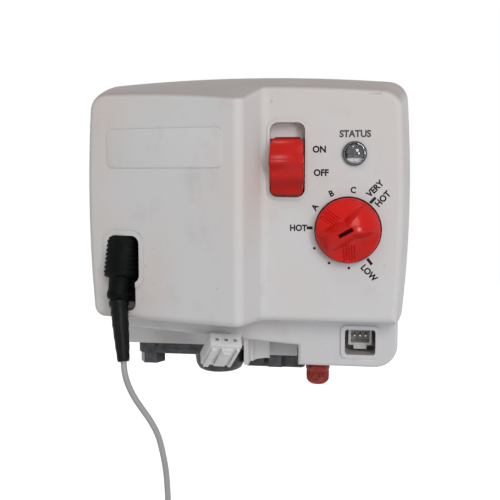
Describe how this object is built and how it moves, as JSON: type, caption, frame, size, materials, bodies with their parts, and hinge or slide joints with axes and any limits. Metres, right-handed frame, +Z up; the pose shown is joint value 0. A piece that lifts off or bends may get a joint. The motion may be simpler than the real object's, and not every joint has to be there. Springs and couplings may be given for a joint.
{
  "type": "water heater gas control valve",
  "caption": "Electronic gas control valve for a storage water heater: white wedge-fronted housing, red temperature knob and slide switch, igniter boot and lead, cast gas body and tank shank.",
  "frame": {"origin": "centre of the tank shank at the plane of the tank wall", "axes": "+X to the right seen from the front, +Y into the tank along the shank, +Z up"},
  "size_m": [0.1458, 0.2162, 0.2248],
  "materials": {
    "housing_plastic": "fine spark-eroded moulding texture, satin",
    "base_plastic": "satin moulded plastic, slightly cooler white",
    "red_plastic": "moulded, semi-gloss",
    "cap_red": "soft moulded cap, satin",
    "cast_aluminium": "die-cast, matt",
    "shank_brass": "machined",
    "fitting_brass": "machined",
    "steel": "zinc plated",
    "stainless": "drawn tube, bright",
    "boot_rubber": "moulded silicone rubber",
    "sleeve_shrink": "heat-shrink tube, slight sheen",
    "lead_jacket": "extruded silicone jacket",
    "connector_white": "moulded nylon",
    "board_laminate": "solder-masked laminate",
    "potting_black": "potted block",
    "coil_wrap": "overmoulded coil",
    "valve_rubber": "nitrile faced plunger",
    "lens_clear": "clear moulded lens",
    "bezel_grey": "moulded ring",
    "nylon_tie": "nylon"
  },
  "bodies": {
    "housing": {"front_cover": "housing_plastic", "base_housing": "base_plastic", "switch_frame": "housing_plastic", "cover_screws": "steel", "base_screws": "steel", "board_screws": "steel", "control_board": "board_laminate", "ignition_module": "potting_black", "status_led": "lens_clear", "status_lens": "lens_clear", "lens_bezel": "bezel_grey", "potentiometer": "potting_black", "slide_switch": "potting_black", "igniter_boot": "boot_rubber", "boot_sleeve": "sleeve_shrink", "spark_terminal": "steel", "valve_casting": "cast_aluminium", "tap_plugs": "steel", "inlet_strainer": "steel", "pilot_fitting": "fitting_brass", "dust_cap": "cap_red", "tank_shank": "shank_brass", "sensor_probe": "stainless", "main_valve_coil": "coil_wrap", "main_valve_spring": "stainless", "pilot_valve_coil": "coil_wrap", "pilot_valve_spring": "stainless", "service_header": "connector_white", "header_pins": "fitting_brass", "harness_plug": "connector_white", "ignition_lead": "lead_jacket", "lead_coil": "lead_jacket", "lead_terminal": "steel", "lead_tie": "nylon_tie"},
    "knob": {"temperature_knob": "red_plastic", "knob_shaft": "steel"},
    "slider": {"power_slider": "red_plastic", "switch_lever": "steel"},
    "main_valve": {"main_valve_disc": "valve_rubber"},
    "pilot_valve": {"pilot_valve_disc": "valve_rubber"}
  },
  "joints": [
    {"name": "knob_turn", "type": "hinge", "parent": "housing", "child": "knob", "pos_m": [0.0438, -0.0955, -0.0029], "axis": [0, 1, 0], "range_deg": [-96, 155]},
    {"name": "slider_move", "type": "slide", "parent": "housing", "child": "slider", "axis": [0, 0, 1], "range_m": [0, 0.0054]},
    {"name": "main_valve_lift", "type": "slide", "parent": "housing", "child": "main_valve", "axis": [0, -1, 0], "range_m": [0, 0.0025], "stiffness_N_per_m": 300, "springref_m": -0.004, "deforming": ["main_valve_spring"]},
    {"name": "pilot_valve_lift", "type": "slide", "parent": "housing", "child": "pilot_valve", "axis": [0, -1, 0], "range_m": [0, 0.0015], "stiffness_N_per_m": 300, "springref_m": -0.003, "deforming": ["pilot_valve_spring"]}
  ]
}
